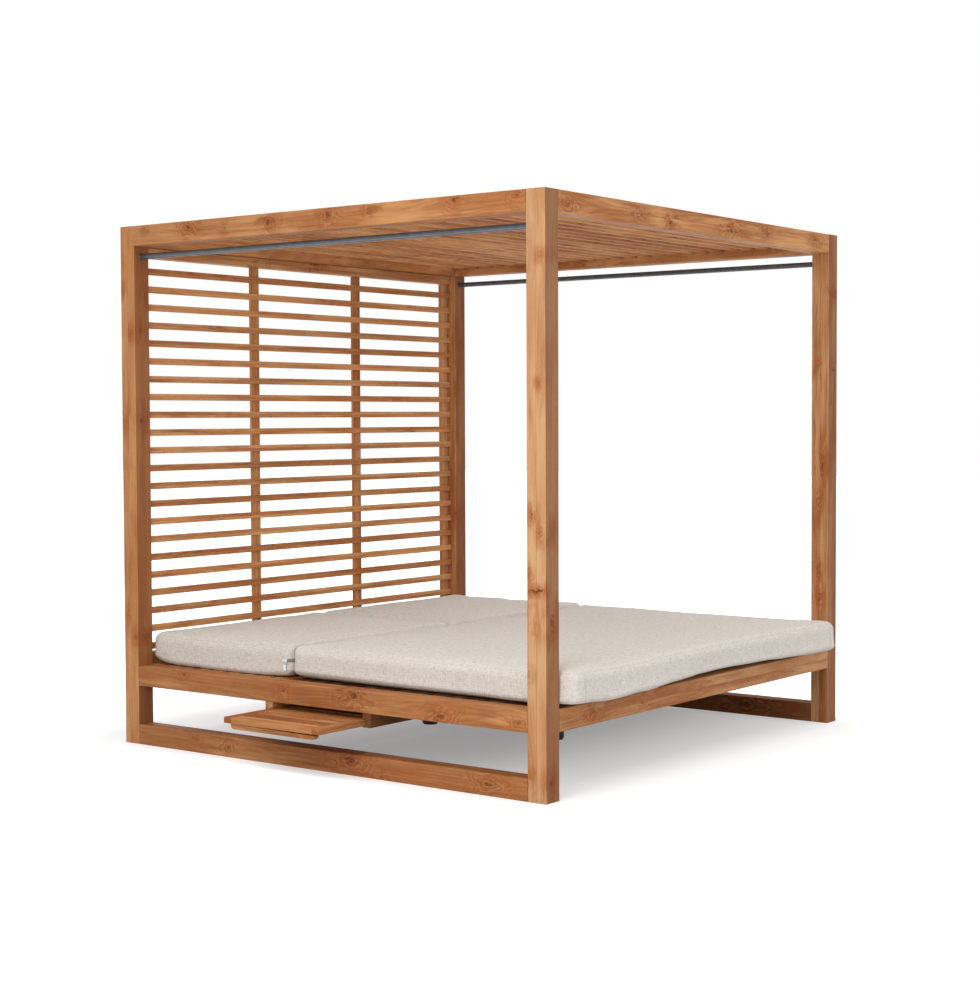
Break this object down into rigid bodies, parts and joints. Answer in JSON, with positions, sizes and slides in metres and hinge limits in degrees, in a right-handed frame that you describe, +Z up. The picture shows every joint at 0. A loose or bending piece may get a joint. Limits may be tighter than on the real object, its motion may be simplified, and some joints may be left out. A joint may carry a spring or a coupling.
{
  "type": "canopy daybed",
  "caption": "Square teak daybed with a slatted canopy and head panel, curtain rods, sliding side trays, reclining backrests and box cushions.",
  "frame": {"origin": "middle of the frame's footprint at floor level", "axes": "+Z up, -Y towards the open foot end, +Y towards the slatted head panel, -X left side seen from the foot end"},
  "size_m": [2.546, 2.045, 2],
  "materials": {
    "teak": "oiled, matt",
    "fabric": "slub weave",
    "dark_metal": "powder coated, satin",
    "black_foot": "matt",
    "stainless": "brushed"
  },
  "bodies": {
    "base": {"post_foot_left": "teak", "post_foot_right": "teak", "post_head_left": "teak", "post_head_right": "teak", "top_rail_left": "teak", "top_rail_right": "teak", "top_rail_foot": "teak", "top_rail_head": "teak", "seat_rail_left": "teak", "seat_rail_right": "teak", "seat_rail_foot": "teak", "seat_rail_head": "teak", "floor_rail_left": "teak", "floor_rail_right": "teak", "head_panel_top_rail": "teak", "head_panel_sill": "teak", "head_panel_slats": "teak", "roof_slats": "teak", "curtain_rod_left": "dark_metal", "curtain_rod_right": "dark_metal", "rod_bracket_foot_left": "dark_metal", "rod_bracket_foot_right": "dark_metal", "rod_bracket_head_left": "dark_metal", "rod_bracket_head_right": "dark_metal", "centre_beam": "teak", "centre_leg_foot": "black_foot", "centre_leg_head": "black_foot", "ledger_left": "teak", "ledger_right": "teak", "seat_deck_left": "teak", "seat_deck_right": "teak", "hinge_rail_left": "teak", "hinge_rail_right": "teak", "rack_left_inner": "teak", "rack_left_outer": "teak", "rack_right_inner": "teak", "rack_right_outer": "teak", "hinge_bolt_left_inner": "stainless", "hinge_bolt_left_outer": "stainless", "hinge_bolt_right_inner": "stainless", "hinge_bolt_right_outer": "stainless", "tray_runner_foot": "teak", "tray_runner_head": "teak", "seat_cushion": "fabric"},
    "backrest_left": {"backrest_left": "teak", "prop_pivot_rod_left": "stainless", "back_cushion_left": "fabric"},
    "backrest_right": {"backrest_right": "teak", "prop_pivot_rod_right": "stainless", "back_cushion_right": "fabric"},
    "prop_left": {"prop_frame_left": "teak", "prop_foot_rod_left": "stainless"},
    "prop_right": {"prop_frame_right": "teak", "prop_foot_rod_right": "stainless"},
    "tray_left": {"tray_left": "teak", "tray_apron_left": "teak", "tray_stop_left": "teak"},
    "tray_right": {"tray_right": "teak", "tray_apron_right": "teak", "tray_stop_right": "teak"}
  },
  "joints": [
    {"name": "recline_left", "type": "hinge", "parent": "base", "child": "backrest_left", "pos_m": [-0.499, 0.215, 0.273], "axis": [1, 0, 0], "range_deg": [0, 60], "deforming": ["back_cushion_left"]},
    {"name": "recline_right", "type": "hinge", "parent": "base", "child": "backrest_right", "pos_m": [0.499, 0.215, 0.273], "axis": [1, 0, 0], "range_deg": [0, 60], "deforming": ["back_cushion_right"]},
    {"name": "prop_left_fold", "type": "hinge", "parent": "backrest_left", "child": "prop_left", "pos_m": [-0.499, 0.545, 0.273], "axis": [1, 0, 0], "range_deg": [-120, 0]},
    {"name": "prop_right_fold", "type": "hinge", "parent": "backrest_right", "child": "prop_right", "pos_m": [0.499, 0.545, 0.273], "axis": [1, 0, 0], "range_deg": [-120, 0]},
    {"name": "tray_left_slide", "type": "slide", "parent": "base", "child": "tray_left", "axis": [-1, 0, 0], "range_m": [-0.233, 0.085]},
    {"name": "tray_right_slide", "type": "slide", "parent": "base", "child": "tray_right", "axis": [1, 0, 0], "range_m": [-0.233, 0.085]}
  ],
  "couplings": [
    {"joint": "prop_left_fold", "follows": "recline_left", "ratio": -2},
    {"joint": "prop_right_fold", "follows": "recline_right", "ratio": -2}
  ]
}
